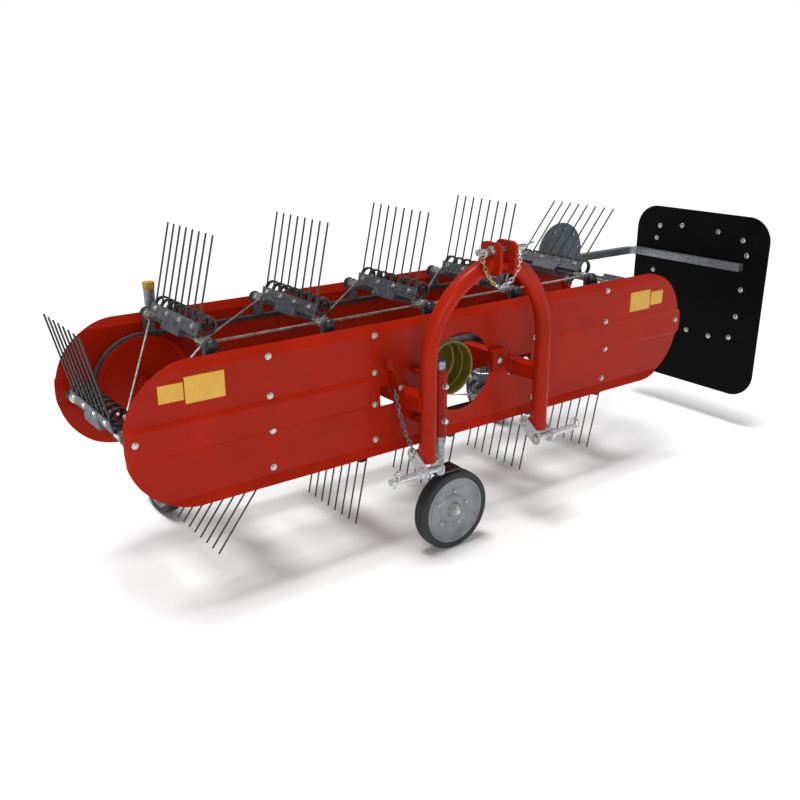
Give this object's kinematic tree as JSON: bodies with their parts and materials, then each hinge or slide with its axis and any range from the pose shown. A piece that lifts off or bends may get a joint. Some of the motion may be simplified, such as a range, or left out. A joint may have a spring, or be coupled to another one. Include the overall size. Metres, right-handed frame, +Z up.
{
  "type": "belt hay rake",
  "caption": "Three-point-hitch belt hay rake: long red side panels with a loop of spring-tine combs between them, an arch headstock, caster wheels and a swath board.",
  "frame": {"origin": "midway between the two lower link pins, on their common axis", "axes": "+X to the right for someone who looks rearwards from the tractor, along the panels; +Y rearwards; +Z up"},
  "size_m": [2.9436, 1.1135, 1.1216],
  "materials": {
    "red_paint": "gloss red machine paint",
    "board_rubber": "black sheet with a soft sheen",
    "grey_paint": "blue-grey paint",
    "wheel_grey": "light grey paint",
    "galvanised": "dull zinc",
    "bright_steel": "bare steel",
    "black_steel": "black spring steel",
    "belt_rubber": "matt",
    "tyre": "matt",
    "cast_housing": "rough cast",
    "olive_plastic": "matt moulded"
  },
  "bodies": {
    "frame": {"comb_01": "galvanised", "comb_02": "galvanised", "comb_03": "galvanised", "comb_04": "galvanised", "comb_05": "galvanised", "comb_06": "galvanised", "comb_07": "galvanised", "comb_08": "galvanised", "comb_09": "galvanised", "comb_10": "galvanised", "comb_11": "galvanised", "comb_12": "galvanised", "front_belt": "belt_rubber", "front_panel": "red_paint", "front_post": "galvanised", "front_post_sleeve": "red_paint", "front_rods": "bright_steel", "gearbox": "cast_housing", "headstock": "red_paint", "index_plate": "grey_paint", "inner_frame": "red_paint", "left_axle": "red_paint", "pto_guard": "olive_plastic", "pto_shaft": "bright_steel", "rear_belt": "belt_rubber", "rear_left_clamp": "red_paint", "rear_left_post": "galvanised", "rear_panel": "red_paint", "rear_right_clamp": "red_paint", "rear_right_post": "galvanised", "right_axle": "red_paint", "slanting_rods": "bright_steel", "tines_01": "black_steel", "tines_02": "black_steel", "tines_03": "black_steel", "tines_04": "black_steel", "tines_05": "black_steel", "tines_06": "black_steel", "tines_07": "black_steel", "tines_08": "black_steel", "tines_09": "black_steel", "tines_10": "black_steel", "tines_11": "black_steel", "tines_12": "black_steel", "top_link_pin": "galvanised"},
    "front_caster": {"front_fork": "black_steel"},
    "front_wheel": {"front_tyre": "tyre", "front_rim": "wheel_grey"},
    "rear_left_caster": {"rear_left_fork": "black_steel"},
    "rear_left_wheel": {"rear_left_tyre": "tyre", "rear_left_rim": "wheel_grey"},
    "rear_right_caster": {"rear_right_fork": "black_steel"},
    "rear_right_wheel": {"rear_right_tyre": "tyre", "rear_right_rim": "wheel_grey"},
    "board": {"board_arm": "galvanised", "swath_board": "board_rubber"},
    "left_link": {"left_link_bracket": "red_paint"},
    "right_link": {"right_link_bracket": "red_paint"}
  },
  "joints": [
    {"name": "front_caster_swivel", "type": "hinge", "parent": "frame", "child": "front_caster", "pos_m": [-0.184, 0.05, 0], "axis": [0, 0, 1], "continuous": true},
    {"name": "front_wheel_spin", "type": "hinge", "parent": "front_caster", "child": "front_wheel", "pos_m": [-0.126, 0.05, -0.193], "axis": [0, 1, 0], "continuous": true},
    {"name": "rear_left_caster_swivel", "type": "hinge", "parent": "frame", "child": "rear_left_caster", "pos_m": [-0.825, 0.855, 0], "axis": [0, 0, 1], "continuous": true},
    {"name": "rear_left_wheel_spin", "type": "hinge", "parent": "rear_left_caster", "child": "rear_left_wheel", "pos_m": [-0.825, 0.913, -0.193], "axis": [1, 0, 0], "continuous": true},
    {"name": "rear_right_caster_swivel", "type": "hinge", "parent": "frame", "child": "rear_right_caster", "pos_m": [0.825, 0.855, 0], "axis": [0, 0, 1], "continuous": true},
    {"name": "rear_right_wheel_spin", "type": "hinge", "parent": "rear_right_caster", "child": "rear_right_wheel", "pos_m": [0.825, 0.913, -0.193], "axis": [1, 0, 0], "continuous": true},
    {"name": "board_fold", "type": "hinge", "parent": "frame", "child": "board", "pos_m": [1.118, 0.79, 0.456], "axis": [0, -1, 0], "range_deg": [0, 90]},
    {"name": "left_link_float", "type": "hinge", "parent": "frame", "child": "left_link", "pos_m": [-0.253, 0.06, 0.042], "axis": [1, 0, 0], "range_deg": [-9, 5]},
    {"name": "right_link_float", "type": "hinge", "parent": "frame", "child": "right_link", "pos_m": [0.253, 0.06, 0.042], "axis": [1, 0, 0], "range_deg": [-9, 5]}
  ]
}
